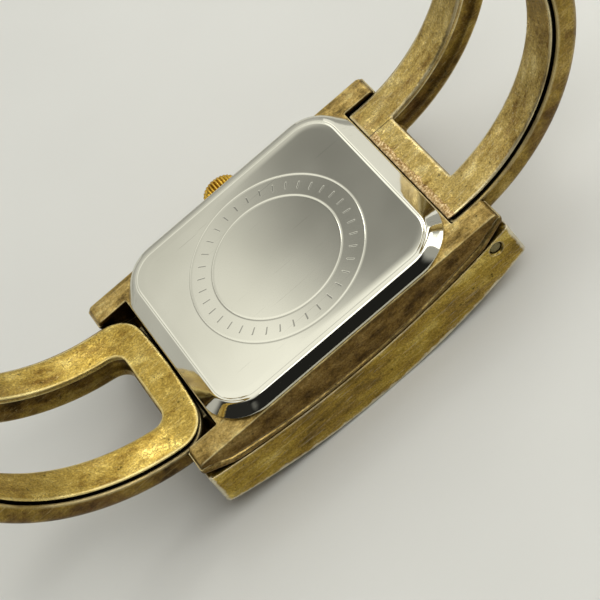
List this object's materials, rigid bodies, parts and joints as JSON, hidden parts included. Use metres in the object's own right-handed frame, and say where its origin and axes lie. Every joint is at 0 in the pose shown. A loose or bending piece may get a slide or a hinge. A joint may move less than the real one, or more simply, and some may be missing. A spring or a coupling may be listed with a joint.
{
  "type": "bangle watch",
  "caption": "Rectangular bangle watch with an arched front, a pressed case back, a fluted crown and two sprung open-loop arms that hinge at the case and close around the wrist.",
  "frame": {"origin": "centre of the case back's flat outer face", "axes": "+Z out of the case back towards the wrist, +X towards twelve o'clock and the right arm, +Y towards the crown"},
  "size_m": [0.0626, 0.024, 0.046],
  "materials": {
    "bezel_gold": "satin gold plating, worn along the edges",
    "case_gold": "worn matt gold plating over brass, stained brown",
    "strip_gold": "worn satin gold plating",
    "crown_gold": "polished gold plating",
    "polished_steel": "mirror polished, lightly scratched",
    "grey_steel": "turned",
    "spring_steel": "rolled",
    "blue_steel": "blued",
    "nickel_plate": "nickel plated",
    "gilt": "polished",
    "magnet": "ground",
    "copper": "enamelled copper wire, weighed as brass",
    "crystal": "clear mineral glass",
    "white_seal": "soft",
    "black_rubber": "soft",
    "dial": "ivory lacquer",
    "white_plastic": "moulded",
    "board": "lacquered",
    "chip": "moulded"
  },
  "bodies": {
    "head": {"bezel": "bezel_gold", "crystal": "crystal", "crystal_gasket": "white_seal", "mid_case": "case_gold", "case_back": "polished_steel", "back_gasket": "black_rubber", "dial": "dial", "hour_markers": "gilt", "movement_holder": "white_plastic", "main_plate": "nickel_plate", "motion_cover": "nickel_plate", "train_bridge": "nickel_plate", "bridge_screws": "blue_steel", "circuit_board": "board", "chip": "chip", "quartz_can": "nickel_plate", "coil_core": "grey_steel", "coil_winding": "copper", "stator": "grey_steel", "battery": "polished_steel", "battery_strap": "spring_steel", "crown_tube": "grey_steel", "right_hinge_pin": "grey_steel", "left_hinge_pin": "grey_steel", "right_spring": "spring_steel", "left_spring": "spring_steel"},
    "right_arm": {"right_arm_channel": "case_gold", "right_arm_strip": "strip_gold"},
    "left_arm": {"left_arm_channel": "case_gold", "left_arm_strip": "strip_gold"},
    "setting_lever": {"setting_lever": "spring_steel"},
    "crown": {"crown": "crown_gold", "stem": "grey_steel", "clutch_wheel": "grey_steel", "crown_gasket": "black_rubber"},
    "seconds": {"fourth_wheel": "gilt", "second_hand": "gilt"},
    "minutes": {"centre_wheel": "gilt", "minute_hand": "gilt"},
    "hours": {"hour_wheel": "gilt", "hour_hand": "gilt"},
    "rotor": {"rotor": "magnet"},
    "fifth_wheel": {"fifth_wheel": "gilt"},
    "third_wheel": {"third_wheel": "gilt"},
    "minute_wheel": {"minute_wheel": "gilt"},
    "setting_wheel": {"setting_wheel": "gilt"}
  },
  "joints": [
    {"name": "right_arm_hinge", "type": "hinge", "parent": "head", "child": "right_arm", "pos_m": [0.01393, 0, -0.00422], "axis": [0, 1, 0], "range_deg": [0, 28], "stiffness_Nm_per_rad": 0.0082, "springref_deg": -28.07},
    {"name": "left_arm_hinge", "type": "hinge", "parent": "head", "child": "left_arm", "pos_m": [-0.01393, 0, -0.00422], "axis": [0, -1, 0], "range_deg": [0, 28], "stiffness_Nm_per_rad": 0.0082, "springref_deg": -28.07},
    {"name": "crown_pull", "type": "slide", "parent": "head", "child": "setting_lever", "axis": [0, 1, 0], "range_m": [0, 0.0008]},
    {"name": "crown_turn", "type": "hinge", "parent": "setting_lever", "child": "crown", "pos_m": [0, 0.012, -0.00299], "axis": [0, 1, 0], "continuous": true},
    {"name": "seconds_turn", "type": "hinge", "parent": "head", "child": "seconds", "pos_m": [0, 0, -0.004], "axis": [0, 0, 1], "continuous": true},
    {"name": "minutes_turn", "type": "hinge", "parent": "head", "child": "minutes", "pos_m": [0, 0, -0.004], "axis": [0, 0, 1], "continuous": true},
    {"name": "hours_turn", "type": "hinge", "parent": "head", "child": "hours", "pos_m": [0, 0, -0.004], "axis": [0, 0, 1], "continuous": true},
    {"name": "third_wheel_turn", "type": "hinge", "parent": "head", "child": "third_wheel", "pos_m": [-0.00191, -0.00191, -0.004], "axis": [0, 0, 1], "continuous": true},
    {"name": "fifth_wheel_turn", "type": "hinge", "parent": "head", "child": "fifth_wheel", "pos_m": [0.00219, -0.00098, -0.004], "axis": [0, 0, 1], "continuous": true},
    {"name": "rotor_turn", "type": "hinge", "parent": "head", "child": "rotor", "pos_m": [0.0036, -0.00254, -0.004], "axis": [0, 0, 1], "continuous": true},
    {"name": "minute_wheel_turn", "type": "hinge", "parent": "head", "child": "minute_wheel", "pos_m": [0, 0.002, -0.004], "axis": [0, 0, 1], "continuous": true},
    {"name": "setting_wheel_turn", "type": "hinge", "parent": "head", "child": "setting_wheel", "pos_m": [0, 0.0046, -0.004], "axis": [0, 0, 1], "continuous": true}
  ],
  "couplings": [
    {"joint": "minutes_turn", "follows": "seconds_turn", "ratio": 0.016667},
    {"joint": "hours_turn", "follows": "seconds_turn", "ratio": 0.0013889},
    {"joint": "third_wheel_turn", "follows": "seconds_turn", "ratio": -0.13333},
    {"joint": "fifth_wheel_turn", "follows": "seconds_turn", "ratio": -5},
    {"joint": "rotor_turn", "follows": "seconds_turn", "ratio": 30},
    {"joint": "minute_wheel_turn", "follows": "seconds_turn", "ratio": -0.0055556},
    {"joint": "setting_wheel_turn", "follows": "seconds_turn", "ratio": 0.0075758}
  ]
}
